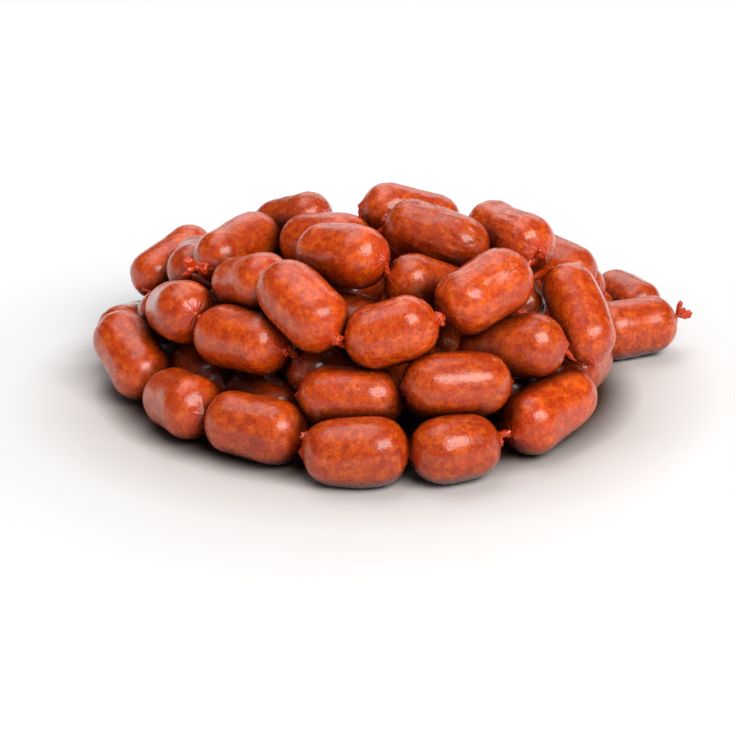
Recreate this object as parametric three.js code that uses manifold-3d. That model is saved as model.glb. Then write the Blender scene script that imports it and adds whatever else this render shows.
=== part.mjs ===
// A long string of short, plump sausage links, heaped in a loose pile as it lies on a table.
// Millimetres, +Z up. The origin is on the ground, under the middle of the heap's box.
// The casing is twisted shut between two links, and tied off in a frayed tuft at both ends.

import * as THREE from 'three';
import { mergeVertices } from 'three/addons/utils/BufferGeometryUtils.js';
import Module from 'manifold-3d';

const wasm = await Module();
wasm.setup();
const { Manifold, Mesh } = wasm;

// A link deep in the heap
const hiddenLength = 58;
const hiddenThickness = 36;

// The twisted casing between two links
const neckRadius = 2.6;
const neckReach = 8;
const neckRoot = 4;
const neckSwing = 0.35;
const neckSag = 0.9;
const neckTaut = 10;
const coreHeight = 30;
const neckSteps = 1;
const neckStep = 18;
const neckSides = 4;

// Sides of a link, and its rings from the tip to its full thickness, as degrees round its end
const shownSides = 9;
const shownRings = [36, 63, 90];
const hiddenSides = 6;
const hiddenRings = [50, 90];

// How the heap settles: how far two links press together, and a link into the ground
const squeeze = 0.8;
const groundPress = 1.2;
const rounds = 300;
const shownHold = 0.15;
const hiddenHold = 0.03;
const neckPull = 0.05;
const mostPull = 0.4;

// The middle of the heap's box in the frame of the rows below, which ends up over the origin
const middle = [0.64, 0.26];

// The tuft of casing at each free end
const tuftNeck = 6;
const tuftLength = 9;
const tuftRadius = 2.3;
const tuftLobes = [{ turn: -28, lead: 0 }, { turn: 33, lead: 1.1 }];
const tuftFlare = 0.7;
const firstTuftWay = [0.66, -0.1, 0.74];
const lastTuftWay = [-0.93, -0.35, 0.1];

// The room above the ground, and the finest detail that is kept
const roomSize = [600, 600, 300];
const finest = 0.25;
const mergeWithin = 1e-4;

// Casing colour
const casingColour = 0xa63a1c;

// A link that shows: its middle, the heading and climb of its far end, its length and thickness,
// and how far its middle bows to the left of its heading
function shown(x, y, z, heading, climb, length, thickness, bow = 0) {
  return [{ x, y, z, heading, climb, length, thickness, bow, isShown: true }];
}

// A link inside the heap or behind it
function hidden(x, y, z, heading, climb = 0) {
  const size = { length: hiddenLength, thickness: hiddenThickness, bow: 0 };
  return [{ x, y, z, heading, climb, ...size, isShown: false }];
}

// A run of hidden links along a curve
function run(count, from, via, to) {
  const [start, bend, end] = [from, via, to].map((point) => new THREE.Vector3(...point));
  const curve = new THREE.QuadraticBezierCurve3(start, bend, end);
  return Array.from({ length: count }, (_, index) => {
    const share = (index + 0.5) / count;
    const place = curve.getPoint(share);
    const along = curve.getTangent(share);
    const heading = THREE.MathUtils.radToDeg(Math.atan2(along.y, along.x));
    return hidden(place.x, place.y, place.z, heading)[0];
  });
}

// The string from its right-hand free end: once round the foot of the heap, then inwards and up,
// to the other free end on the upper left
const string = [
  shown(155, 43, 20, -172, 0, 64, 40),
  shown(110, -23, 18, -120, 0, 60, 34),
  shown(83, -94, 24, -130, -14, 68, 37),
  shown(26, -137, 18, -162, 0, 51, 36),
  shown(-26, -140, 19, 177, 0, 58, 37.5),
  shown(-80, -106, 19, 147, 0, 60, 37),
  shown(-126, -79, 19, 114, -6, 57, 37),
  shown(-165, -24, 27, 125, 28, 66, 37),
  shown(-176, 39, 21, 74, -8, 58, 34),
  run(5, [-165, 68, 18], [-10, 188, 18], [150, 118, 18]),
  shown(162, 95, 20, -70, 2, 58, 34),
  hidden(130, 91, 18, 160),
  run(3, [86, 76, 18], [100, 0, 18], [60, -76, 24]),
  shown(29, -111, 47, -168, 4, 61, 37),
  shown(-30, -109, 36, -178, 0, 58, 37),
  shown(-80, -70, 17, 125, 0, 58, 33),
  shown(-121, -38, 18, 118, 0, 58, 35),
  run(3, [-134, 0, 18], [-100, 88, 18], [-25, 98, 18]),
  run(3, [-20, 98, 18], [88, 104, 18], [62, 14, 18]),
  run(2, [38, 50, 20], [-20, 60, 20], [-58, 56, 20]),
  hidden(-24, 12, 20, 0),
  hidden(38, -12, 22, -85),
  hidden(-50, -36, 18, 170),
  hidden(-94, 6, 46, 60),
  hidden(-60, 34, 50, -15),
  hidden(-22, 8, 58, -110),
  shown(-35, -56, 60, -28, 0, 58, 36),
  hidden(14, -20, 60, 73, -8),
  hidden(42, 30, 50, 30),
  shown(74, -25, 64, -84, 0, 56, 34),
  shown(101, -54, 64, -62, -35, 64, 33, 2),
  shown(62, -80, 51, 167, -8, 62, 37),
  hidden(4, -63, 26, 154, -21),
  shown(-46, -72, 27, -140, 10, 56, 34),
  shown(-91, -69, 55, 137, 0, 62, 37),
  shown(-133, -27, 57, 112, -16, 58, 37),
  hidden(-147, 28, 36, 110, -4),
  shown(-154, 73, 55, 49, 16, 66, 35),
  run(4, [-135, 100, 52], [-20, 140, 54], [120, 98, 30]),
  shown(116, 60, 40, -56, 8, 57, 35),
  shown(104, 33, 65, 135, 6, 55, 34),
  run(4, [88, 82, 60], [-10, 44, 88], [-118, 75, 50]),
  shown(-134, 35, 64, -93, 2, 56, 34),
  shown(-88, -45, 76, -50, 20, 58, 36),
  shown(-56, -87, 82, -46, -18, 61, 37),
  shown(-8, -102, 69, -6, 17, 53, 36),
  shown(44, -76, 84, 36, 20, 62, 38),
  shown(64, -8, 97, 121, 4, 68, 37),
  shown(6, 21, 101, -173, 17, 65, 37),
  shown(24, -18, 102, -18, -6, 66, 36),
  shown(17, -53, 76, -162, 28, 61, 35),
  shown(-36, -46, 98, 146, -9, 62, 36),
  shown(-46, 8, 90, 152, -10, 62, 36),
  shown(-71, 50, 88, 152, -22, 60, 34),
  shown(-100, 18, 83, -130, -9, 67, 34),
].flat();

// Each link starts as a straight rod with round ends: the middles of its two end balls
function placeRod(row) {
  const heading = THREE.MathUtils.degToRad(row.heading);
  const climb = THREE.MathUtils.degToRad(row.climb);
  const along = new THREE.Vector3(
    Math.cos(climb) * Math.cos(heading),
    Math.cos(climb) * Math.sin(heading),
    Math.sin(climb),
  );
  const radius = row.thickness / 2;
  const rod = row.length - row.thickness;
  const centre = new THREE.Vector3(row.x, row.y, row.z);
  const start = centre.clone().addScaledVector(along, -rod / 2);
  const end = centre.clone().addScaledVector(along, rod / 2);
  return { ...row, radius, rod, start, end, homeStart: start.clone(), homeEnd: end.clone() };
}

// The shares along two rods at which they come nearest to each other
function nearestShares(first, second) {
  const firstWay = first.end.clone().sub(first.start);
  const secondWay = second.end.clone().sub(second.start);
  const between = first.start.clone().sub(second.start);
  const a = firstWay.dot(firstWay);
  const b = firstWay.dot(secondWay);
  const c = firstWay.dot(between);
  const e = secondWay.dot(secondWay);
  const f = secondWay.dot(between);
  const clamp = (share) => Math.min(Math.max(share, 0), 1);
  const across = a * e - b * b;
  let near = across > 1e-9 ? clamp((b * f - c * e) / across) : 0.5;
  let far = (b * near + f) / e;
  if (far < 0) near = clamp(-c / a);
  if (far > 1) near = clamp((b - c) / a);
  far = clamp(far);
  return [near, far];
}

// Two rods that press too deep into each other are pushed apart
function pushApart(first, second) {
  const reach = (first.rod + second.rod) / 2 + first.radius + second.radius;
  const firstMiddle = first.start.clone().add(first.end).multiplyScalar(0.5);
  const secondMiddle = second.start.clone().add(second.end).multiplyScalar(0.5);
  if (firstMiddle.distanceTo(secondMiddle) > reach) return;
  const [near, far] = nearestShares(first, second);
  const way = second.start.clone().lerp(second.end, far)
    .sub(first.start.clone().lerp(first.end, near));
  const gap = way.length();
  const excess = first.radius + second.radius - squeeze - gap;
  if (excess <= 0 || gap < 1e-6) return;
  way.multiplyScalar(excess / (2 * gap));
  const firstShare = (1 - near) ** 2 + near ** 2;
  const secondShare = (1 - far) ** 2 + far ** 2;
  first.start.addScaledVector(way, -(1 - near) / firstShare);
  first.end.addScaledVector(way, -near / firstShare);
  second.start.addScaledVector(way, (1 - far) / secondShare);
  second.end.addScaledVector(way, far / secondShare);
}

const alongOf = (link) => link.end.clone().sub(link.start).normalize();
const tipOf = (link, side) => (side < 0 ? link.start : link.end).clone()
  .addScaledVector(alongOf(link), side * link.radius);

// The links are held where they lie, those that show most, and the twists between them stay short
function settle(links) {
  for (let round = 0; round < rounds; round += 1) {
    for (const link of links) {
      const grip = link.isShown ? shownHold : hiddenHold;
      link.start.lerp(link.homeStart, grip);
      link.end.lerp(link.homeEnd, grip);
    }
    for (let index = 1; index < links.length; index += 1) {
      const way = tipOf(links[index], -1).sub(tipOf(links[index - 1], 1));
      const excess = way.length() - neckReach;
      if (excess <= 0) continue;
      way.setLength(Math.min(excess * neckPull, mostPull));
      links[index - 1].end.add(way);
      links[index].start.sub(way);
    }
    for (let index = 0; index < links.length; index += 1) {
      for (let other = index + 1; other < links.length; other += 1) {
        pushApart(links[index], links[other]);
      }
    }
    for (const link of links) {
      const way = link.end.clone().sub(link.start);
      const excess = way.length() - link.rod;
      way.setLength(excess / 2);
      link.start.add(way);
      link.end.sub(way);
      link.start.z = Math.max(link.start.z, link.radius - groundPress);
      link.end.z = Math.max(link.end.z, link.radius - groundPress);
    }
  }
}

// A closed geometry as a solid
function toSolid(geometry) {
  geometry.deleteAttribute('normal');
  geometry.deleteAttribute('uv');
  const merged = mergeVertices(geometry, mergeWithin);
  return new Manifold(new Mesh({
    numProp: 3,
    vertProperties: new Float32Array(merged.attributes.position.array),
    triVerts: new Uint32Array(merged.index.array),
  }));
}

// One link: a turned body with round ends, drawn in to the twist at both tips
function makeLink(link) {
  const sides = link.isShown ? shownSides : hiddenSides;
  const rings = link.isShown ? shownRings : hiddenRings;
  const half = link.rod / 2 + link.radius;
  const fullness = 1 / Math.sqrt(Math.cos(Math.PI / sides));
  const end = rings.map((degrees) => {
    const angle = THREE.MathUtils.degToRad(degrees);
    const reach = half - link.radius * (1 - Math.cos(angle));
    return [link.radius * Math.sin(angle) * fullness, reach];
  });
  const profile = [
    [0, -half],
    ...end.map(([radius, reach]) => [radius, -reach]),
    ...(link.bow ? [[link.radius * fullness, 0]] : []),
    ...end.reverse(),
    [0, half],
  ].map(([radius, along]) => new THREE.Vector2(radius, along));
  const body = new THREE.LatheGeometry(profile, sides);
  const place = body.attributes.position;
  for (let index = 0; index < place.count; index += 1) {
    const share = place.getY(index) / half;
    place.setX(index, place.getX(index) + link.bow * (1 - share * share));
  }
  const along = alongOf(link);
  const left = new THREE.Vector3(0, 0, 1).cross(along).normalize();
  const centre = link.start.clone().add(link.end).multiplyScalar(0.5);
  body.applyMatrix4(new THREE.Matrix4()
    .makeBasis(left, along, left.clone().cross(along)).setPosition(centre));
  return toSolid(body);
}

// Twisted casing that runs through a row of points
function makeTwist(curve, steps) {
  const corners = Array.from({ length: neckSides }, (_, index) => {
    const angle = 2 * Math.PI * (index + 0.5) / neckSides;
    return new THREE.Vector2(neckRadius * Math.cos(angle), neckRadius * Math.sin(angle));
  });
  return toSolid(new THREE.ExtrudeGeometry(new THREE.Shape(corners), {
    steps, bevelEnabled: false, extrudePath: curve,
  }));
}

// The twist between two neighbours leaves one tip and enters the other along their axes, and
// a long one sags in between the links
function joinLinks(first, second) {
  const leave = alongOf(first);
  const enter = alongOf(second);
  const from = tipOf(first, 1).addScaledVector(leave, -neckRoot);
  const to = tipOf(second, -1).addScaledVector(enter, neckRoot);
  const gap = from.distanceTo(to);
  const swing = neckRoot + gap * neckSwing;
  const sag = new THREE.Vector3(0, 0, coreHeight).sub(from.clone().lerp(to, 0.5))
    .setLength(Math.max(gap - neckTaut, 0) * neckSag);
  const curve = new THREE.CubicBezierCurve3(
    from,
    from.clone().addScaledVector(leave, swing).add(sag),
    to.clone().addScaledVector(enter, -swing).add(sag),
    to,
  );
  return makeTwist(curve, neckSteps + Math.round(gap / neckStep));
}

// The tied and frayed casing past the tip of a free end: a short twist that turns to its own
// way, and two lobes
function makeTuft(link, side, way) {
  const along = new THREE.Vector3(...way).normalize();
  const across = new THREE.Vector3(0, 1, 0).cross(along).normalize();
  const tip = tipOf(link, side);
  const root = tip.clone().addScaledVector(alongOf(link), -side * neckRoot);
  const fork = tip.clone().addScaledVector(along, tuftNeck);
  const parts = [makeTwist(new THREE.QuadraticBezierCurve3(root, tip, fork), 2)];
  for (const { turn, lead } of tuftLobes) {
    const angle = THREE.MathUtils.degToRad(turn);
    const lobeWay = along.clone().multiplyScalar(Math.cos(angle))
      .addScaledVector(across, Math.sin(angle));
    const lobe = new THREE.LatheGeometry([
      new THREE.Vector2(0, -tuftRadius),
      new THREE.Vector2(tuftRadius / 2, -tuftRadius),
      new THREE.Vector2(tuftRadius, tuftLength * tuftFlare),
      new THREE.Vector2(0, tuftLength),
    ], neckSides);
    const third = across.clone().cross(lobeWay).normalize();
    lobe.applyMatrix4(new THREE.Matrix4()
      .makeBasis(lobeWay.clone().cross(third), lobeWay, third)
      .setPosition(fork.clone().addScaledVector(lobeWay, lead).addScaledVector(third, lead / 2)));
    parts.push(toSolid(lobe));
  }
  return Manifold.union(parts);
}

const links = string.map(placeRod);
settle(links);
const joined = Manifold.union([
  ...links.map(makeLink),
  ...links.slice(1).map((link, index) => joinLinks(links[index], link)),
  makeTuft(links[0], -1, firstTuftWay),
  makeTuft(links[links.length - 1], 1, lastTuftWay),
]);

// The links that lie on the ground are flat where they touch it
const above = toSolid(new THREE.BoxGeometry(...roomSize).translate(0, 0, roomSize[2] / 2));

// Air shut in between fused links is filled, and loose scraps are dropped
const bodies = joined.intersect(above).decompose();
const whole = bodies.reduce((most, body) => (body.volume() > most.volume() ? body : most))
  .simplify(finest)
  .translate(-middle[0], -middle[1], 0);

const skin = whole.getMesh();
const geometry = new THREE.BufferGeometry();
geometry.setAttribute('position', new THREE.Float32BufferAttribute(skin.vertProperties, 3));
geometry.setIndex(new THREE.Uint32BufferAttribute(skin.triVerts, 1));
geometry.computeVertexNormals();

const casing = new THREE.MeshStandardMaterial({ color: casingColour, roughness: 0.4 });
const linkString = new THREE.Mesh(geometry, casing);
linkString.name = 'link_string';

const group = new THREE.Group();
group.name = 'sausage_links';
group.add(linkString);

export default group;
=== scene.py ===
"""A long string of plump sausage links in a loose heap, dressed for the picture."""

import math
import random

import bpy
import numpy as np
from mathutils import Matrix, Vector, noise


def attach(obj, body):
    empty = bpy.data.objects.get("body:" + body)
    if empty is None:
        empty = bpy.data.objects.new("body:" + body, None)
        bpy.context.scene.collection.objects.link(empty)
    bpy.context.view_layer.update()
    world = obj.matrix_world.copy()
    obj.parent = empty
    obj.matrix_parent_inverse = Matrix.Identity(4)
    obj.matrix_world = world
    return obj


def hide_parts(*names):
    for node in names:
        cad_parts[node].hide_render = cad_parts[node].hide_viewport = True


MM = 0.001

# A link deep in the heap
HIDDEN_LENGTH = 58
HIDDEN_THICKNESS = 36

# How the heap settles, in millimetres
SQUEEZE = 0.8
GROUND_PRESS = 1.2
ROUNDS = 300
SHOWN_HOLD = 0.15
HIDDEN_HOLD = 0.03
NECK_REACH = 8
NECK_PULL = 0.05
MOST_PULL = 0.4
MIDDLE = (0.64, 0.26)

# A gap below the first counts as none, and any number below the second as zero
NO_GAP = 1e-6
TINY = 1e-9


def shown(x, y, z, heading, climb, length, thickness, bow=0):
    """A link that shows: its middle, heading and climb, its size and its sideways bow."""
    return [dict(x=x, y=y, z=z, heading=heading, climb=climb, length=length,
                 thickness=thickness, bow=bow, is_shown=True)]


def hidden(x, y, z, heading, climb=0):
    """A link inside the heap or behind it."""
    return [dict(x=x, y=y, z=z, heading=heading, climb=climb, length=HIDDEN_LENGTH,
                 thickness=HIDDEN_THICKNESS, bow=0, is_shown=False)]


def run(count, start, via, end):
    """A run of hidden links along a curve."""
    links = []
    for index in range(count):
        t = (index + 0.5) / count
        place = [(1 - t) ** 2 * a + 2 * t * (1 - t) * b + t * t * c
                 for a, b, c in zip(start, via, end)]
        along = [2 * (1 - t) * (b - a) + 2 * t * (c - b)
                 for a, b, c in zip(start, via, end)]
        links += hidden(*place, math.degrees(math.atan2(along[1], along[0])))
    return links


# The string from its right-hand free end to the free end on the upper left
STRING = {
    "foot_front": [
        *shown(155, 43, 20, -172, 0, 64, 40),
        *shown(110, -23, 18, -120, 0, 60, 34),
        *shown(83, -94, 24, -130, -14, 68, 37),
        *shown(26, -137, 18, -162, 0, 51, 36),
        *shown(-26, -140, 19, 177, 0, 58, 37.5),
        *shown(-80, -106, 19, 147, 0, 60, 37),
        *shown(-126, -79, 19, 114, -6, 57, 37),
        *shown(-165, -24, 27, 125, 28, 66, 37),
        *shown(-176, 39, 21, 74, -8, 58, 34),
    ],
    "foot_back": [
        *run(5, (-165, 68, 18), (-10, 188, 18), (150, 118, 18)),
        *shown(162, 95, 20, -70, 2, 58, 34),
        *hidden(130, 91, 18, 160),
        *run(3, (86, 76, 18), (100, 0, 18), (60, -76, 24)),
    ],
    "low_front": [
        *shown(29, -111, 47, -168, 4, 61, 37),
        *shown(-30, -109, 36, -178, 0, 58, 37),
        *shown(-80, -70, 17, 125, 0, 58, 33),
        *shown(-121, -38, 18, 118, 0, 58, 35),
    ],
    "inside": [
        *run(3, (-134, 0, 18), (-100, 88, 18), (-25, 98, 18)),
        *run(3, (-20, 98, 18), (88, 104, 18), (62, 14, 18)),
        *run(2, (38, 50, 20), (-20, 60, 20), (-58, 56, 20)),
        *hidden(-24, 12, 20, 0),
        *hidden(38, -12, 22, -85),
        *hidden(-50, -36, 18, 170),
        *hidden(-94, 6, 46, 60),
        *hidden(-60, 34, 50, -15),
        *hidden(-22, 8, 58, -110),
    ],
    "middle_front": [
        *shown(-35, -56, 60, -28, 0, 58, 36),
        *hidden(14, -20, 60, 73, -8),
        *hidden(42, 30, 50, 30),
        *shown(74, -25, 64, -84, 0, 56, 34),
        *shown(101, -54, 64, -62, -35, 64, 33, 2),
        *shown(62, -80, 51, 167, -8, 62, 37),
        *hidden(4, -63, 26, 154, -21),
        *shown(-46, -72, 27, -140, 10, 56, 34),
        *shown(-91, -69, 55, 137, 0, 62, 37),
        *shown(-133, -27, 57, 112, -16, 58, 37),
        *hidden(-147, 28, 36, 110, -4),
        *shown(-154, 73, 55, 49, 16, 66, 35),
    ],
    "middle_back": [
        *run(4, (-135, 100, 52), (-20, 140, 54), (120, 98, 30)),
        *shown(116, 60, 40, -56, 8, 57, 35),
        *shown(104, 33, 65, 135, 6, 55, 34),
        *run(4, (88, 82, 60), (-10, 44, 88), (-118, 75, 50)),
        *shown(-134, 35, 64, -93, 2, 56, 34),
    ],
    "top_front": [
        *shown(-88, -45, 76, -50, 20, 58, 36),
        *shown(-56, -87, 82, -46, -18, 61, 37),
        *shown(-8, -102, 69, -6, 17, 53, 36),
        *shown(44, -76, 84, 36, 20, 62, 38),
    ],
    "top": [
        *shown(64, -8, 97, 121, 4, 68, 37),
        *shown(6, 21, 101, -173, 17, 65, 37),
        *shown(24, -18, 102, -18, -6, 66, 36),
        *shown(17, -53, 76, -162, 28, 61, 35),
        *shown(-36, -46, 98, 146, -9, 62, 36),
        *shown(-46, 8, 90, 152, -10, 62, 36),
        *shown(-71, 50, 88, 152, -22, 60, 34),
        *shown(-100, 18, 83, -130, -9, 67, 34),
    ],
}


class Rod:
    """A link as a straight rod with a ball at each end, in millimetres."""

    def __init__(self, row):
        heading = math.radians(row["heading"])
        climb = math.radians(row["climb"])
        along = (
            math.cos(climb) * math.cos(heading),
            math.cos(climb) * math.sin(heading),
            math.sin(climb),
        )
        self.radius = row["thickness"] / 2
        self.length = row["length"] - row["thickness"]
        self.bow = row["bow"]
        self.is_shown = row["is_shown"]
        centre = (row["x"], row["y"], row["z"])
        self.start = [c - a * self.length / 2 for c, a in zip(centre, along)]
        self.end = [c + a * self.length / 2 for c, a in zip(centre, along)]
        self.home_start = list(self.start)
        self.home_end = list(self.end)

    def along(self):
        """The way from the first ball to the second, 1 long."""
        way = minus(self.end, self.start)
        size = math.sqrt(dot(way, way))
        return [w / size for w in way]

    def tip(self, side):
        """The tip of the link at its start (side -1) or its end (side 1)."""
        ball = self.start if side < 0 else self.end
        return [b + a * side * self.radius for b, a in zip(ball, self.along())]


def minus(a, b):
    """The way from point b to point a."""
    return [a[0] - b[0], a[1] - b[1], a[2] - b[2]]


def dot(a, b):
    """The dot product of two ways."""
    return a[0] * b[0] + a[1] * b[1] + a[2] * b[2]


def shift(point, way, share):
    """The point is moved by a share of the way."""
    for axis in range(3):
        point[axis] += way[axis] * share


def nearest_shares(first, second):
    """The shares along two rods at which they come nearest to each other."""
    first_way = minus(first.end, first.start)
    second_way = minus(second.end, second.start)
    between = minus(first.start, second.start)
    a = dot(first_way, first_way)
    b = dot(first_way, second_way)
    c = dot(first_way, between)
    e = dot(second_way, second_way)
    f = dot(second_way, between)
    across = a * e - b * b
    near = min(max((b * f - c * e) / across, 0), 1) if across > TINY else 0.5
    far = (b * near + f) / e
    if far < 0:
        near = min(max(-c / a, 0), 1)
    if far > 1:
        near = min(max((b - c) / a, 0), 1)
    return near, min(max(far, 0), 1)


def push_apart(first, second):
    """Two rods that press too deep into each other are pushed apart."""
    reach = (first.length + second.length) / 2 + first.radius + second.radius
    apart = [(a + b - c - d) / 2
             for a, b, c, d in zip(first.start, first.end, second.start, second.end)]
    if dot(apart, apart) > reach * reach:
        return
    near, far = nearest_shares(first, second)
    way = [(s + (t - s) * far) - (p + (q - p) * near)
           for s, t, p, q in zip(second.start, second.end, first.start, first.end)]
    gap = math.sqrt(dot(way, way))
    excess = first.radius + second.radius - SQUEEZE - gap
    if excess <= 0 or gap < NO_GAP:
        return
    way = [w * excess / (2 * gap) for w in way]
    first_share = (1 - near) ** 2 + near ** 2
    second_share = (1 - far) ** 2 + far ** 2
    shift(first.start, way, -(1 - near) / first_share)
    shift(first.end, way, -near / first_share)
    shift(second.start, way, (1 - far) / second_share)
    shift(second.end, way, far / second_share)


def settle(rods):
    """The links are held where they lie, and the twists between them stay short."""
    for _ in range(ROUNDS):
        for rod in rods:
            hold = SHOWN_HOLD if rod.is_shown else HIDDEN_HOLD
            shift(rod.start, minus(rod.home_start, rod.start), hold)
            shift(rod.end, minus(rod.home_end, rod.end), hold)
        for before, after in zip(rods, rods[1:]):
            way = minus(after.tip(-1), before.tip(1))
            gap = math.sqrt(dot(way, way))
            if gap > NECK_REACH:
                pull = min((gap - NECK_REACH) * NECK_PULL, MOST_PULL) / gap
                shift(before.end, way, pull)
                shift(after.start, way, -pull)
        for index, first in enumerate(rods):
            for second in rods[index + 1:]:
                push_apart(first, second)
        for rod in rods:
            way = minus(rod.end, rod.start)
            size = math.sqrt(dot(way, way))
            shift(rod.start, way, (size - rod.length) / (2 * size))
            shift(rod.end, way, -(size - rod.length) / (2 * size))
            for ball in (rod.start, rod.end):
                ball[2] = max(ball[2], rod.radius - GROUND_PRESS)


def settled_rods():
    """Every link of the string where it comes to lie, with the heap's middle over the origin."""
    rods = [Rod(row) for rows in STRING.values() for row in rows]
    settle(rods)
    for rod in rods:
        for ball in (rod.start, rod.end):
            ball[0] -= MIDDLE[0]
            ball[1] -= MIDDLE[1]
    return rods


def start_selection(kind):
    """Nothing on the mesh is selected, and what is selected next is of one kind."""
    bpy.ops.object.mode_set(mode="EDIT")
    bpy.ops.mesh.select_mode(type=kind)
    bpy.ops.mesh.select_all(action="DESELECT")
    bpy.ops.object.mode_set(mode="OBJECT")


# Only the edges of a master's straight part, which is 1 long, are longer than this
LONG_EDGE = 0.5


def cut_long_edges(piece, axis, bands):
    """The straight part of a master, which is one long band of faces, cut into more bands."""
    start_selection("EDGE")
    points = piece.data.vertices
    for edge in piece.data.edges:
        a, b = (points[v].co[axis] for v in edge.vertices)
        edge.select = abs(a - b) > LONG_EDGE
    bpy.ops.object.mode_set(mode="EDIT")
    bpy.ops.mesh.subdivide(number_cuts=bands - 1)
    bpy.ops.object.mode_set(mode="OBJECT")


def model_link(name, segments, rings, bands):
    """A link along X with round ends. Its radius is 1, and its straight part is 1 long."""
    bpy.ops.object.select_all(action="DESELECT")
    bpy.ops.mesh.primitive_uv_sphere_add(segments=segments, ring_count=rings, radius=1,
                                         rotation=(0, math.pi / 2, 0))
    link = bpy.context.object
    link.name = name
    bpy.ops.object.transform_apply(location=False, rotation=True, scale=False)
    start_selection("FACE")
    for face in link.data.polygons:
        face.select = face.center.x > 0
    bpy.ops.object.mode_set(mode="EDIT")
    bpy.ops.mesh.extrude_region_move(TRANSFORM_OT_translate={"value": (1, 0, 0)})
    bpy.ops.object.mode_set(mode="OBJECT")
    cut_long_edges(link, 0, bands)
    return link


def points_of(mesh):
    """The places of a mesh's points, one row for each."""
    flat = np.empty(len(mesh.vertices) * 3)
    mesh.vertices.foreach_get("co", flat)
    return flat.reshape(-1, 3)


def smooth(low, high, value):
    """A smooth step from 0 at low to 1 at high, level beyond them. Low may be the larger."""
    t = np.clip((value - low) / (high - low), 0, 1)
    return t * t * (3 - 2 * t)


# How far one seed's noise lies from the next one's
NOISE_STEP = (7.3, 3.1, 5.7)


def noise_at(points, scale, seed):
    """Smooth noise about 0 at many points."""
    offset = Vector([seed * step for step in NOISE_STEP])
    return np.array([noise.noise(Vector(p) * scale + offset) for p in points])


# The shape of one link: how blunt its ends are, and from which thickness and how far they draw
# out. Here and below, thickness goes from 0 at the tip to 1
BLUNTNESS = 2.12
TAPER_FROM = 0.34
TAPER = 0.13
AT_TIP = 1e-4

# How the links differ: share of their thickness, sideways bow and lift in millimetres
THICKNESS_SPREAD = (0.985, 1.01)
BOW_SPREAD = 1.2
LIFT_SPREAD = 0.8

# The uneven filling: swells (height as a share, waves), and lumps and ripples (height in mm, scale
# per mm)
SWELLS = ((0.022, 2.6), (0.012, 5.5))
LUMP = 0.55
LUMP_SCALE = 0.055
RIPPLE = 0.22
RIPPLE_SCALE = 0.16
RIPPLE_SEED = 40

# Wrinkles of slack casing: depth in mm, scale per mm, how they stretch lengthwise, and width
FOLD_DEPTH = 0.6
FOLD_SCALE = 0.14
FOLD_STRETCH = 0.22
FOLD_WIDTH = 0.16
FOLD_SEED = 80

# Creases of gathered casing: (number round the link, weight), depth in mm, and how they swirl.
# They start, are full and end at these thicknesses
CREASES = ((9, 0.4), (14, 0.35), (21, 0.25))
CREASE_DEPTH = 0.85
CREASE_SWIRL = 0.9
CREASE_START = (0.55, 0.8)
CREASE_FULL = 0.22
CREASE_END = (0.02, 0.2)
CREASE_STRENGTH = (0.6, 1.3)
CREASE_SHARPNESS = 1.5

# The casing turns redder between these thicknesses
REDDER = (0.75, 0.12)

# A random start of a wave, in radians
PHASE = (0, 6)


def gather(draw, turn, thick, side, is_end):
    """How deep the creases that run into the twists are at each point of a link."""
    crease = np.zeros_like(thick)
    for end in (-1, 1):
        swirl = draw.uniform(-CREASE_SWIRL, CREASE_SWIRL)
        angle = turn + swirl * (1 - thick)
        folds = sum(weight * (1 - np.abs(np.sin(count / 2 * angle + draw.uniform(*PHASE))))
                    for count, weight in CREASES)
        start = draw.uniform(*CREASE_START)
        depth = smooth(start, CREASE_FULL, thick) * smooth(*CREASE_END, thick)
        depth *= draw.uniform(*CREASE_STRENGTH)
        crease += np.where((side == end) & is_end, folds ** CREASE_SHARPNESS * depth, 0)
    return crease


def shape_link(template, rod, seed, slack):
    """The master link fitted to one rod: (points, place in the link, how near the tip)."""
    draw = random.Random(seed)
    x, y, z = template.T
    radius = rod.radius
    half = rod.length / 2
    turn = np.arctan2(z, y)
    cap = np.clip(np.maximum(-x, x - 1), 0, 1)
    is_end = cap > 0
    side = np.where(x < 0.5, -1, 1)
    thick = np.where(is_end, (1 - cap ** BLUNTNESS) ** (1 / BLUNTNESS), 1.0)
    thick[np.hypot(y, z) < AT_TIP] = 0
    length = np.where(is_end, side * (half + cap * radius), (2 * x - 1) * half)
    length += side * radius * TAPER * np.clip(1 - thick / TAPER_FROM, 0, 1) ** 2 * is_end
    share = length / (half + radius)
    crease = gather(draw, turn, thick, side, is_end)

    # Uneven filling
    swell = 1 + sum(height * np.sin(share * waves + draw.uniform(*PHASE))
                    for height, waves in SWELLS)
    local = np.stack([length, radius * thick * np.cos(turn), radius * thick * np.sin(turn)], 1)
    lump = noise_at(local, LUMP_SCALE, seed) * LUMP
    lump += noise_at(local, RIPPLE_SCALE, seed + RIPPLE_SEED) * RIPPLE
    outward = np.stack([side * cap, thick * np.cos(turn), thick * np.sin(turn)], 1)
    outward /= np.linalg.norm(outward, axis=1, keepdims=True)

    # Lengthwise wrinkles of slack casing
    ridges = np.abs(noise_at(local * (FOLD_STRETCH, 1, 1), FOLD_SCALE, seed + FOLD_SEED))
    lump -= smooth(FOLD_WIDTH, 0.0, ridges) * FOLD_DEPTH * slack ** 2

    local[:, 1:] *= swell[:, None] * draw.uniform(*THICKNESS_SPREAD)
    local += outward * (lump - crease * CREASE_DEPTH)[:, None]
    place = local.copy()
    bow = rod.bow + draw.uniform(-BOW_SPREAD, BOW_SPREAD)
    local[:, 1] += bow * (1 - share ** 2)
    local[:, 2] += draw.uniform(-LIFT_SPREAD, LIFT_SPREAD) * (1 - share ** 2)
    tip = np.where(is_end, smooth(*REDDER, thick), 0)
    return local, place, tip


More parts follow.
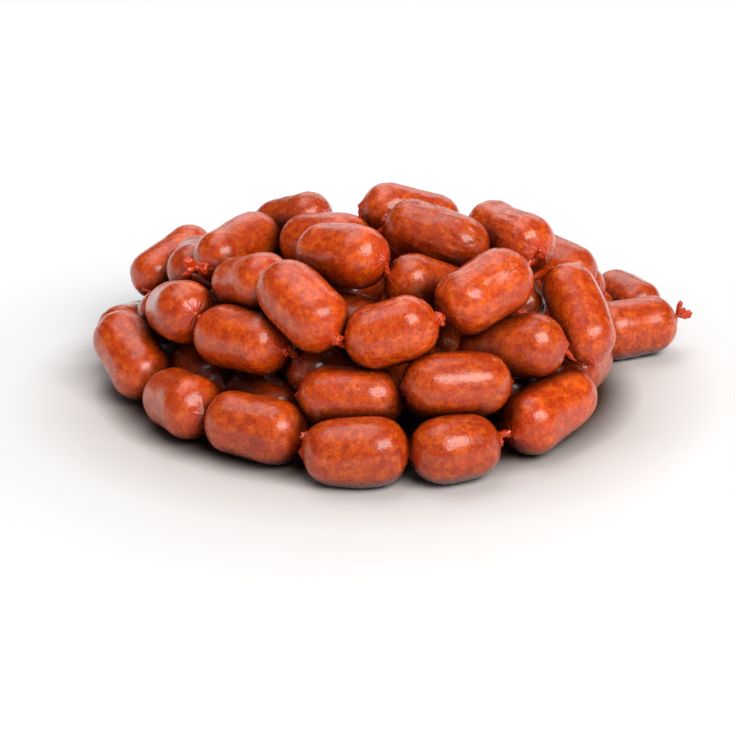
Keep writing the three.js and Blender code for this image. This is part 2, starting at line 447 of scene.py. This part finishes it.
def lay_link(local, rod):
    """Points of a link moved from its own frame to where it lies."""
    along = np.array(rod.along())
    left = np.cross((0, 0, 1), along)
    left /= np.linalg.norm(left)
    up = np.cross(along, left)
    middle = (np.array(rod.start) + np.array(rod.end)) / 2
    return local @ np.stack([along, left, up]) + middle


def off_rod(points, rod):
    """The way to each point from the nearest place on a rod's middle line."""
    start = np.array(rod.start)
    way = np.array(rod.end) - start
    share = np.clip((points - start) @ way / (way @ way), 0, 1)
    return points - (start + share[:, None] * way)


# How links flatten each other: from which gap in millimetres, how much each gives way, and how
# much farther than they reach other links are looked at
PRESS_FROM = 0.15
PRESS_SHARE = 0.55
PRESS_SEARCH = 4


def press(points, rod, others):
    """Links that touch flatten each other, and the ground flattens the lowest."""
    centre = (np.array(rod.start) + np.array(rod.end)) / 2
    for other in others:
        if other is rod:
            continue
        other_centre = (np.array(other.start) + np.array(other.end)) / 2
        reach = (rod.length + other.length) / 2 + rod.radius + other.radius + PRESS_SEARCH
        if np.linalg.norm(other_centre - centre) > reach:
            continue
        off = off_rod(points, other)
        gap = np.linalg.norm(off, axis=1)
        deep = np.clip(other.radius + PRESS_FROM - gap, 0, None)
        points += off / np.maximum(gap, NO_GAP)[:, None] * (deep * PRESS_SHARE)[:, None]
    points[:, 2] = np.maximum(points[:, 2], 0)
    return points


# Painted shade between links: how far that of a neighbour and of the ground reaches, in
# millimetres, the ground's strength, and how a neighbour counts that lies straight out or beside a
# point
NEIGHBOUR_SHADE = 24
GROUND_SHADE = 32
GROUND_STRENGTH = 1.6
FACING_STRENGTH = 1.2
BESIDE_STRENGTH = 0.1


def crowding(points, rod, others):
    """How much of each point's open side other links or the ground take up, for painted shade."""
    outward = off_rod(points, rod)
    outward /= np.linalg.norm(outward, axis=1, keepdims=True) + TINY
    taken = GROUND_STRENGTH * np.clip(-outward[:, 2], 0, 1)
    taken *= np.clip(1 - points[:, 2] / GROUND_SHADE, 0, 1)
    for other in others:
        if other is rod:
            continue
        across = -off_rod(points, other)
        gap = np.linalg.norm(across, axis=1)
        facing = (across * outward).sum(axis=1) / gap * FACING_STRENGTH + BESIDE_STRENGTH
        near = 1 - (gap - other.radius) / NEIGHBOUR_SHADE
        taken += np.clip(facing, 0, 1) * np.clip(near, 0, 1)
    return np.clip(taken, 0, 1)


def new_piece(name, parts):
    """One mesh of parts, each (master, points in mm, place, tip, tone, slack, painted shade)."""
    made = []
    bpy.ops.object.select_all(action="DESELECT")
    for master, points, place, tip, tone, slack, crowd in parts:
        mesh = master.data.copy()
        mesh.vertices.foreach_set("co", (points * MM).astype(np.float32).ravel())
        skin = mesh.attributes.new("skin", "FLOAT_VECTOR", "POINT")
        skin.data.foreach_set("vector", place.astype(np.float32).ravel())
        for label, value in (("tip", tip), ("tone", tone), ("slack", slack), ("crowd", crowd)):
            held = mesh.attributes.new(label, "FLOAT", "POINT")
            held.data.foreach_set("value", np.broadcast_to(value, len(points)).astype(np.float32))
        part = bpy.data.objects.new(name, mesh)
        bpy.context.collection.objects.link(part)
        part.select_set(True)
        made.append(part)
    bpy.context.view_layer.objects.active = made[0]
    bpy.ops.object.join()
    piece = bpy.context.object
    piece.name = name
    piece.data.polygons.foreach_set("use_smooth", [True] * len(piece.data.polygons))
    return piece


# The twisted casing between links, in millimetres: its radius, how much wider it is where it
# enters a link, how deep it is rooted there, and what share of the gap it runs straight on. A twist
# that is longer than TWIST_TAUT sags towards the heap's core
TWIST_RADIUS = 2.2
TWIST_FLARE = 1.2
TWIST_ROOT = 3.5
TWIST_SWING = 0.3
TWIST_SAG = 0.9
TWIST_TAUT = 10
CORE_HEIGHT = 30

# How soon the wider part ends, as a share of the length, and how the twists differ in radius
FLARE_REACH = 0.12
RADIUS_SPREAD = (0.85, 1.15)

# The rope of a twist: sides and bands of its mesh, strands, the depth between them, their turn
TWIST_SIDES = 20
TWIST_BANDS = 32
STRANDS = 3
STRAND_DEPTH = 0.22
STRAND_TURN = 14


def model_twist():
    """A ropy twist of casing along Z from 0 to 1, with a radius of 1."""
    bpy.ops.object.select_all(action="DESELECT")
    bpy.ops.mesh.primitive_cylinder_add(vertices=TWIST_SIDES, radius=1, depth=1,
                                        end_fill_type="NOTHING", location=(0, 0, 0.5))
    twist = bpy.context.object
    twist.name = "twist"
    bpy.ops.object.transform_apply(location=True, rotation=False, scale=False)
    cut_long_edges(twist, 2, TWIST_BANDS)
    for point in twist.data.vertices:
        angle = math.atan2(point.co.y, point.co.x)
        groove = abs(math.sin(STRANDS / 2 * angle + point.co.z * STRAND_TURN))
        thick = 1 - STRAND_DEPTH * groove
        point.co.x *= thick
        point.co.y *= thick
    return twist


def lay_twist(template, before, after, seed):
    """The twist between two links leaves one tip and enters the other, and a long one sags."""
    leave = np.array(before.along())
    enter = np.array(after.along())
    start = np.array(before.tip(1)) - leave * TWIST_ROOT
    end = np.array(after.tip(-1)) + enter * TWIST_ROOT
    gap = np.linalg.norm(end - start)
    swing = TWIST_ROOT + gap * TWIST_SWING
    inward = np.array((0, 0, CORE_HEIGHT)) - (start + end) / 2
    inward *= max(gap - TWIST_TAUT, 0) * TWIST_SAG / np.linalg.norm(inward)
    curve = [start, start + leave * swing + inward, end - enter * swing + inward, end]
    return bend_twist(template, curve, 1, seed)


def bend_twist(template, curve, far_flare, seed):
    """The twist bent along a cubic curve of four points, wider where it enters a link."""
    draw = random.Random(seed)
    curve = np.stack(curve)
    t = np.clip(template[:, 2], 0, 1)
    basis = np.stack([(1 - t) ** 3, 3 * t * (1 - t) ** 2, 3 * t * t * (1 - t), t ** 3], 1)
    slope = np.stack([-3 * (1 - t) ** 2, 3 * (1 - t) ** 2 - 6 * t * (1 - t),
                      6 * t * (1 - t) - 3 * t * t, 3 * t * t], 1)
    path = basis @ curve
    way = slope @ curve
    way /= np.linalg.norm(way, axis=1, keepdims=True)
    nearly_up = np.array([0.13, 0.21, 1.0])
    across = np.cross(way, nearly_up)
    across /= np.linalg.norm(across, axis=1, keepdims=True)
    third = np.cross(way, across)
    flare = np.exp(-t / FLARE_REACH) + far_flare * np.exp(-(1 - t) / FLARE_REACH)
    thick = TWIST_RADIUS * (1 + TWIST_FLARE * flare) * draw.uniform(*RADIUS_SPREAD)
    points = path + across * (template[:, 0] * thick)[:, None]
    points += third * (template[:, 1] * thick)[:, None]
    points[:, 2] = np.maximum(points[:, 2], 0)
    return points


# A flap of casing: its width at the root, how it spreads, how flat it is, how it is crumpled, how
# ragged its edge is, and how unlike two flaps are
FLAP_ROOT = 0.35
FLAP_SPREAD = 0.95
FLAP_CURVE = 0.8
FLAP_FLATNESS = 0.45
FLAP_CRUMPLE = 0.35
CRUMPLE_SCALE = 5
CRUMPLE_PLACE = (3, 1, 7)
FLAP_RAGGED = 0.12
RAGGED_SCALE = 4
FLAP_UNLIKE = 0.3
UNLIKE_SCALE = 6


def model_flap():
    """A crumpled flap of casing along Z from 0 to 1."""
    bpy.ops.object.select_all(action="DESELECT")
    bpy.ops.mesh.primitive_uv_sphere_add(segments=24, ring_count=16, radius=0.5,
                                         location=(0, 0, 0.5))
    flap = bpy.context.object
    flap.name = "flap"
    bpy.ops.object.transform_apply(location=True, rotation=False, scale=False)
    for point in flap.data.vertices:
        spread = FLAP_ROOT + FLAP_SPREAD * point.co.z ** FLAP_CURVE
        crumple = 1 + FLAP_CRUMPLE * noise.noise(point.co * CRUMPLE_SCALE + Vector(CRUMPLE_PLACE))
        point.co.x *= spread * crumple
        point.co.y *= spread * FLAP_FLATNESS * crumple
        point.co.z *= 1 + FLAP_RAGGED * noise.noise(point.co * RAGGED_SCALE)
    return flap


def lay_piece(points, way, turn, root):
    """Points along Z from the origin, turned about Z, set along a way from a root point."""
    pose = Vector(way).to_track_quat("Z", "Y").to_matrix() @ Matrix.Rotation(turn, 3, "Z")
    points = points @ np.array(pose.transposed()) + np.array(root)
    points[:, 2] = np.maximum(points[:, 2], 0)
    return points


def lay_flap(template, root, way, turn, length, width, seed):
    """A flap of casing from a root point along a way, turned about it."""
    crumple = 1 + FLAP_UNLIKE * noise_at(template * UNLIKE_SCALE, 1, seed)
    points = template * np.array([width, width, length]) * crumple[:, None]
    return lay_piece(points, Vector(way).normalized(), turn, root)


# A knot of casing: folds round it, their slant, bands along it, how deep they all are, and how it
# is crumpled
KNOT_FOLDS = 7
KNOT_SLANT = 5
KNOT_BANDS = 8
BAND_DEPTH = 0.5
KNOT_CORE = 0.72
KNOT_DEPTH = 0.26
KNOT_HEIGHT = 0.8
KNOT_CRUMPLE = 0.45
KNOT_CRUMPLE_SCALE = 4


def model_knot():
    """A crumpled knot of casing, 1 across."""
    bpy.ops.object.select_all(action="DESELECT")
    bpy.ops.mesh.primitive_uv_sphere_add(segments=28, ring_count=18, radius=0.5)
    knot = bpy.context.object
    knot.name = "knot"
    for point in knot.data.vertices:
        angle = math.atan2(point.co.y, point.co.x)
        fold = abs(math.sin(KNOT_FOLDS / 2 * angle + point.co.z * KNOT_SLANT))
        fold += BAND_DEPTH * abs(math.sin(KNOT_BANDS * point.co.z))
        point.co *= KNOT_CORE + KNOT_DEPTH * fold
        point.co.z *= KNOT_HEIGHT
    return knot


def lay_knot(template, root, way, size, seed):
    """A knot on a tip, set along a way."""
    crumple = 1 + KNOT_CRUMPLE * noise_at(template, KNOT_CRUMPLE_SCALE, seed)
    return lay_piece(template * size * crumple[:, None], way, seed, root)


def node_maker(material):
    """A function that adds a node to a material, with its links and its values."""
    tree = material.node_tree

    def make(kind, links=None, **values):
        node = tree.nodes.new(kind)
        for key, value in values.items():
            if key in node.inputs:
                node.inputs[key].default_value = value
            else:
                setattr(node, key, value)
        for socket, source in (links or {}).items():
            tree.links.new(source, node.inputs[socket])
        return node
    return make


def ramp(make, source, stops):
    """A colour ramp over (position, colour) stops."""
    node = make("ShaderNodeValToRGB", {"Fac": source})
    elements = node.color_ramp.elements
    while len(elements) < len(stops):
        elements.new(0.5)
    for element, (position, colour) in zip(elements, stops):
        element.position = position
        element.color = (*colour, 1)
    return node.outputs["Color"]


def grey_ramp(make, source, stops):
    """A ramp over (position, value) stops."""
    return ramp(make, source, [(position, (value,) * 3) for position, value in stops])


def cover(make, share, below, colour):
    """A colour over what is below it, as strong as the share says at each place."""
    node = make("ShaderNodeMix", data_type="RGBA")
    node.id_data.links.new(share, node.inputs[0])
    node.id_data.links.new(below, node.inputs[6])
    node.inputs[7].default_value = (*colour, 1)
    return node.outputs[2]


# Casing colours, linear, and the painted shade where links crowd
DEEP_RED = (0.29, 0.017, 0.001)
RED = (0.42, 0.032, 0.001)
ORANGE = (0.58, 0.064, 0.002)
FAT = (0.80, 0.155, 0.008)
GATHERED = (0.50, 0.034, 0.003)
# Painted shade: near black, laid where other links and the ground crowd the casing
PAINTED_SHADE = (0.035, 0.003, 0.001)

# Patterns in the casing: scale per millimetre, detail, roughness and distortion of each noise
BROAD_CLOUDS = (0.045, 3, 0.6, 0.0)
MEAT_CLOUDS = (0.15, 3, 0.6, 0.1)
FAT_CLOUDS = (0.2, 3, 0.6, 0.1)
FLECK_CLOUDS = (0.42, 3, 0.6, 0.1)
GRAIN_CLOUDS = (0.42, 3, 0.6, 0.0)
FINE_CLOUDS = (1.3, 2, 0.5, 0.0)
WRINKLE_CLOUDS = (0.32, 2, 0.5, 0.4)
WRINKLE_STRETCH = (0.14, 1, 1)

# How strongly each colour covers what is below it: (value of its pattern, share)
BROAD = ((0.34, RED), (0.66, ORANGE))
MEAT_SHARE = ((0.30, 0.70), (0.60, 0.0))
FAT_SHARE = ((0.45, 0.0), (0.78, 0.70))
FLECK_SHARE = ((0.34, 0.65), (0.50, 0.0))
TIP_SHARE = ((0.15, 0.0), (0.9, 0.75))
# How strongly the painted shade covers the casing: (crowding by links and ground, share)
PAINTED_SHADE_SHARE = ((0.4, 0.0), (1.0, 0.9))

# The skin: its roughness along the flecks, the strength and depth in metres of its relief, its
# clear coat, and how far light goes into it
SKIN_ROUGHNESS = ((0.3, 0.22), (0.7, 0.33))
SKIN_IOR = 1.3
GRAIN_STRENGTH = 0.45
GRAIN_DEPTH = 0.0007
WRINKLE_STRENGTH = 0.6
WRINKLE_DEPTH = 0.0012
COAT_GRAIN_STRENGTH = 0.13
COAT = 0.6
COAT_ROUGHNESS = 0.14
DEEP_LIGHT = 0.1
DEEP_LIGHT_RADIUS = (1.0, 0.25, 0.1)
DEEP_LIGHT_SCALE = 0.003


def make_casing():
    """Clear casing over coarse red meat: mottled with fat, redder where gathered, with painted
    shade.
    """
    material = bpy.data.materials.new("mottled_casing")
    material.use_nodes = True
    material.node_tree.nodes.clear()
    make = node_maker(material)
    skin = make("ShaderNodeAttribute", attribute_name="skin").outputs["Vector"]
    tip = make("ShaderNodeAttribute", attribute_name="tip").outputs["Fac"]
    tone = make("ShaderNodeAttribute", attribute_name="tone").outputs["Fac"]
    slack = make("ShaderNodeAttribute", attribute_name="slack").outputs["Fac"]
    # How strongly painted shade darkens each point
    crowd = make("ShaderNodeAttribute", attribute_name="crowd").outputs["Fac"]

    def clouds(pattern, place=skin):
        scale, detail, rough, distort = pattern
        return make("ShaderNodeTexNoise", {"Vector": place}, Scale=scale, Detail=detail,
                    Roughness=rough, Distortion=distort).outputs["Fac"]

    fleck = clouds(FLECK_CLOUDS)
    colour = ramp(make, clouds(BROAD_CLOUDS), BROAD)
    colour = cover(make, grey_ramp(make, clouds(MEAT_CLOUDS), MEAT_SHARE), colour, DEEP_RED)
    colour = cover(make, grey_ramp(make, clouds(FAT_CLOUDS), FAT_SHARE), colour, FAT)
    colour = cover(make, grey_ramp(make, fleck, FLECK_SHARE), colour, DEEP_RED)
    colour = cover(make, grey_ramp(make, tip, TIP_SHARE), colour, GATHERED)
    # Painted shade: the casing darkens where other links and the ground crowd it
    colour = cover(make, grey_ramp(make, crowd, PAINTED_SHADE_SHARE), colour, PAINTED_SHADE)
    shade = make("ShaderNodeHueSaturation", {"Color": colour, "Value": tone})
    rough = grey_ramp(make, fleck, SKIN_ROUGHNESS)

    grain = make("ShaderNodeMath", {0: clouds(GRAIN_CLOUDS), 1: clouds(FINE_CLOUDS)},
                 operation="ADD").outputs[0]
    bump = make("ShaderNodeBump", {"Height": grain}, Strength=GRAIN_STRENGTH,
                Distance=GRAIN_DEPTH)
    stretched = make("ShaderNodeMapping", {"Vector": skin}, Scale=WRINKLE_STRETCH)
    wrinkles = make("ShaderNodeMath",
                    {0: clouds(WRINKLE_CLOUDS, stretched.outputs["Vector"]), 1: slack},
                    operation="MULTIPLY").outputs[0]
    bump = make("ShaderNodeBump", {"Height": wrinkles, "Normal": bump.outputs["Normal"]},
                Strength=WRINKLE_STRENGTH, Distance=WRINKLE_DEPTH)
    coat_bump = make("ShaderNodeBump", {"Height": grain}, Strength=COAT_GRAIN_STRENGTH,
                     Distance=GRAIN_DEPTH)
    shader = make("ShaderNodeBsdfPrincipled", {
        "Base Color": shade.outputs["Color"], "Roughness": rough,
        "Normal": bump.outputs["Normal"], "Coat Normal": coat_bump.outputs["Normal"],
    }, IOR=SKIN_IOR)
    shader.inputs["Subsurface Weight"].default_value = DEEP_LIGHT
    shader.inputs["Subsurface Radius"].default_value = DEEP_LIGHT_RADIUS
    shader.inputs["Subsurface Scale"].default_value = DEEP_LIGHT_SCALE
    shader.inputs["Coat Weight"].default_value = COAT
    shader.inputs["Coat Roughness"].default_value = COAT_ROUGHNESS
    make("ShaderNodeOutputMaterial", {"Surface": shader.outputs["BSDF"]})
    return material


# How the links' colour and slackness differ, and which links are slack and wrinkled
TONE_SPREAD = (0.86, 1.1)
SLACK_SPREAD = (0.1, 0.6)
WRINKLED = (40, 62, 63, 64, 66)

# Random seeds, and how far apart two links lie in the pattern, so that no two look the same
TONE_SEED = 300
TWIST_SEED = 500
TUFT_SEED = 7
FLAP_SEED = 3
PATTERN_STEP = 97.0


def make_links(rods, templates, fine_link, plain_link):
    """The links, one piece for each stretch of the string."""
    pieces = []
    index = 0
    for stretch, rows in STRING.items():
        parts = []
        for _ in rows:
            rod = rods[index]
            master = fine_link if rod.is_shown else plain_link
            draw = random.Random(index + TONE_SEED)
            tone = draw.uniform(*TONE_SPREAD)
            slack = draw.uniform(*SLACK_SPREAD)
            if index in WRINKLED:
                slack = 1.0
            local, place, tip = shape_link(templates[master], rod, index + 1, slack)
            points = press(lay_link(local, rod), rod, rods)
            # How strongly painted shade darkens each point of this link
            crowd = crowding(points, rod, rods)
            parts.append((master, points, place + index * PATTERN_STEP, tip, tone, slack, crowd))
            index += 1
        pieces.append(new_piece("links_" + stretch, parts))
    return pieces


# The frayed ends: which way each points, and for each flap its turn, its lean and its length
FIRST_TUFT_WAY = (0.66, -0.1, 0.74)
LAST_TUFT_WAY = (-0.93, -0.35, 0.1)
TUFT_NECK = 6
TUFT_WIDTH = 6.5
TUFT_ROOT = 2.5
TUFT = ((0.4, -0.6, 11), (1.6, 0.65, 10.5), (2.6, 0.0, 8))

# Knots: (link, end, width in millimetres), and how far beyond the tip they sit
KNOTS = ((62, 1, 8), (61, 1, 7), (45, -1, 6.5), (5, -1, 9), (66, -1, 7), (64, -1, 8), (40, 1, 7),
         (3, -1, 6), (71, 1, 8), (53, 1, 6), (0, -1, 7))
KNOT_OUT = 0.8

# The look of gathered casing: its slackness, and the painted shade and the tone of its parts
GATHERED_SLACK = 0.5
TWIST_PAINTED_SHADE = 0.7
KNOT_PAINTED_SHADE = 0.1
FLAP_TONE = 1.1


def gathered(master, points, crowd, tone=1.0):
    """A part of gathered casing for new_piece: all of it is as red as a tip."""
    return (master, points, points.copy(), 1.0, tone, GATHERED_SLACK, crowd)


def make_twisted_casing(rods, templates, twist, flap, knot):
    """One piece of all twists, the two frayed ends and the knots."""
    parts = []
    for index, (before, after) in enumerate(zip(rods, rods[1:])):
        points = lay_twist(templates[twist], before, after, index + TWIST_SEED)
        others = [rod for rod in rods if rod is not before and rod is not after]
        # Painted shade on each twist where other links and the ground crowd it
        parts.append(gathered(twist, points, TWIST_PAINTED_SHADE * crowding(points, before, others)))
    for rod, side, way in ((rods[0], -1, FIRST_TUFT_WAY), (rods[-1], 1, LAST_TUFT_WAY)):
        way = np.array(way) / np.linalg.norm(way)
        tip = np.array(rod.tip(side))
        fork = tip + way * TUFT_NECK
        curve = [tip - np.array(rod.along()) * side * TWIST_ROOT, tip, tip + way, fork]
        parts.append(gathered(twist, bend_twist(templates[twist], curve, 0, TUFT_SEED), 0.0))
        across = np.cross((0, 1, 0), way)
        for number, (turn, lean, length) in enumerate(TUFT):
            points = lay_flap(templates[flap], fork - way * TUFT_ROOT, way + across * lean,
                              turn, length, TUFT_WIDTH, number + FLAP_SEED)
            parts.append(gathered(flap, points, 0.0, FLAP_TONE))
    for number, (link, side, size) in enumerate(KNOTS):
        way = np.array(rods[link].along()) * side
        root = np.array(rods[link].tip(side)) + way * KNOT_OUT
        points = lay_knot(templates[knot], root, way, size, number + 1)
        parts.append(gathered(knot, points, KNOT_PAINTED_SHADE))
    return new_piece("twisted_casing", parts)


# The floor: its colour far off, and its painted shadow beside and under the heap, linear, and
# the heap's place in metres
FLOOR = (0.68, 0.69, 0.70)
PAINTED_SHADOW_BESIDE_HEAP = (0.58, 0.56, 0.55)
PAINTED_SHADOW_UNDER_HEAP = (0.06, 0.03, 0.02)
HEAP_MIDDLE = -0.02
HEAP_REACH = (0.180, 0.155)
FLOOR_DROP = 0.0004
FLOOR_ROUGHNESS = 0.85
FLOOR_GLOSS = 0.2

# The colour over the distance from the heap's middle, where the heap reaches to this value:
# painted shadow under and beside the heap, then the pale floor
HEAP_EDGE = 0.8
FLOOR_COLOURS = ((0.66, PAINTED_SHADOW_UNDER_HEAP), (0.78, PAINTED_SHADOW_BESIDE_HEAP), (1.0, FLOOR))

# How strongly the floor glows at each distance in metres, and the reach of floor and backdrop
GLOW = ((0.18, 0.0), (0.45, 0.32), (1.0, 0.85))
BACKDROP = 8
BACKDROP_SHARE = 0.9
WALL = 0.8


def make_floor():
    """A pale floor with painted shadow under and beside the heap, glowing white far behind it."""
    material = bpy.data.materials.new("pale_floor")
    material.use_nodes = True
    make = node_maker(material)
    shader = material.node_tree.nodes["Principled BSDF"]
    place = make("ShaderNodeTexCoord").outputs["Object"]
    scale = [HEAP_EDGE / reach for reach in HEAP_REACH]
    scaled = make("ShaderNodeMapping", {"Vector": place}, Scale=(*scale, 1),
                  Location=(-HEAP_MIDDLE * scale[0], 0, 0)).outputs["Vector"]
    inside = make("ShaderNodeVectorMath", {0: scaled}, operation="LENGTH").outputs["Value"]
    # Painted shadow: the floor is darker towards the heap's middle
    colour = ramp(make, inside, FLOOR_COLOURS)
    away = make("ShaderNodeVectorMath", {0: place}, operation="LENGTH").outputs["Value"]
    glow = grey_ramp(make, away, GLOW)
    tree = material.node_tree
    tree.links.new(colour, shader.inputs["Base Color"])
    tree.links.new(glow, shader.inputs["Emission Strength"])
    shader.inputs["Emission Color"].default_value = (1, 1, 1, 1)
    shader.inputs["Roughness"].default_value = FLOOR_ROUGHNESS
    shader.inputs["Specular IOR Level"].default_value = FLOOR_GLOSS
    bpy.ops.mesh.primitive_plane_add(size=BACKDROP * 2, location=(0, 0, -FLOOR_DROP))
    floor = bpy.context.object
    floor.name = "floor"
    bpy.ops.mesh.primitive_cylinder_add(vertices=96, radius=BACKDROP * BACKDROP_SHARE,
                                        depth=WALL * 2, end_fill_type="NOTHING",
                                        location=(0, 0, 0))
    wall = bpy.context.object
    wall.name = "backdrop"
    bpy.ops.object.transform_apply(location=True, rotation=False, scale=False)
    for piece in (floor, wall):
        piece.data.materials.append(material)


# The lamps: place and aim in metres, size, power in watts, and colour
LAMPS = {
    "key": ((0.66, -1.02, 1.2), (0.02, -0.03, 0.05), (1.25, 0.8), 33, (1, 0.96, 0.92)),
    "fill": ((-1.0, -0.9, 0.8), (0, 0, 0.05), (1.0, 1.0), 1, (1, 1, 1)),
    "top": ((-0.3, 0.2, 1.4), (0, 0, 0.05), (1.4, 1.0), 11, (1, 1, 1)),
    "back": ((0.2, 1.3, 0.9), (0, 0, 0.05), (1.6, 0.8), 7, (1, 1, 1)),
}
DAYLIGHT = 0.05


def light_studio():
    """Soft lamps round the heap and a little light from everywhere."""
    for name, (place, aim, size, power, colour) in LAMPS.items():
        light = bpy.data.lights.new(name, "AREA")
        light.shape = "RECTANGLE"
        light.size, light.size_y = size
        light.energy = power
        light.color = colour
        lamp = bpy.data.objects.new(name, light)
        lamp.location = place
        lamp.rotation_euler = (Vector(aim) - Vector(place)).to_track_quat("-Z", "Y").to_euler()
        bpy.context.collection.objects.link(lamp)
    world = bpy.data.worlds.new("studio")
    world.use_nodes = True
    background = world.node_tree.nodes["Background"]
    background.inputs["Color"].default_value = (1, 1, 1, 1)
    background.inputs["Strength"].default_value = DAYLIGHT
    bpy.context.scene.world = world
    bpy.context.scene.view_settings.view_transform = "Standard"


# The photograph's camera: its place, its tilt from straight down, and its lens
CAMERA_PLACE = ((-20 - MIDDLE[0]) * MM, (-735 - MIDDLE[1]) * MM, 318.4 * MM)
CAMERA_TILT = 90 - 22.86
FOCAL_PIXELS = 1239.5
FRAME_PIXELS = 735
SHIFT_PIXELS = -1.5
SENSOR = 36
NEAREST = 0.01


def add_camera():
    """The camera at the photograph's viewing angle."""
    camera = bpy.data.cameras.new("camera")
    camera.sensor_width = SENSOR
    camera.lens = FOCAL_PIXELS / FRAME_PIXELS * SENSOR
    camera.shift_y = SHIFT_PIXELS / FRAME_PIXELS
    camera.clip_start = NEAREST
    holder = bpy.data.objects.new("camera", camera)
    holder.location = CAMERA_PLACE
    holder.rotation_euler = (math.radians(CAMERA_TILT), 0, 0)
    bpy.context.collection.objects.link(holder)
    bpy.context.scene.camera = holder


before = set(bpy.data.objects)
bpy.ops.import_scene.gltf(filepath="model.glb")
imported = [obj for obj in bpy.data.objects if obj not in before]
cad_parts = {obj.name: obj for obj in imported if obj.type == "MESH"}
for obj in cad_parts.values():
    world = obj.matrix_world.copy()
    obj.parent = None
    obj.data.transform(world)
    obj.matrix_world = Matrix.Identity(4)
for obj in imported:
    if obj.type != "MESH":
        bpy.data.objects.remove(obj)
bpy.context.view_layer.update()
add_camera()

rods = settled_rods()
fine_link = model_link("fine_link", segments=64, rings=40, bands=14)
plain_link = model_link("plain_link", segments=32, rings=20, bands=8)
twist = model_twist()
flap = model_flap()
knot = model_knot()
masters = (fine_link, plain_link, twist, flap, knot)
templates = {master: points_of(master.data) for master in masters}
casing = make_casing()

pieces = make_links(rods, templates, fine_link, plain_link)
pieces.append(make_twisted_casing(rods, templates, twist, flap, knot))
for master in masters:
    bpy.data.objects.remove(master)

for piece in pieces:
    piece.data.materials.clear()
    piece.data.materials.append(casing)
    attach(piece, "root")
    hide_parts("link_string")

make_floor()
light_studio()
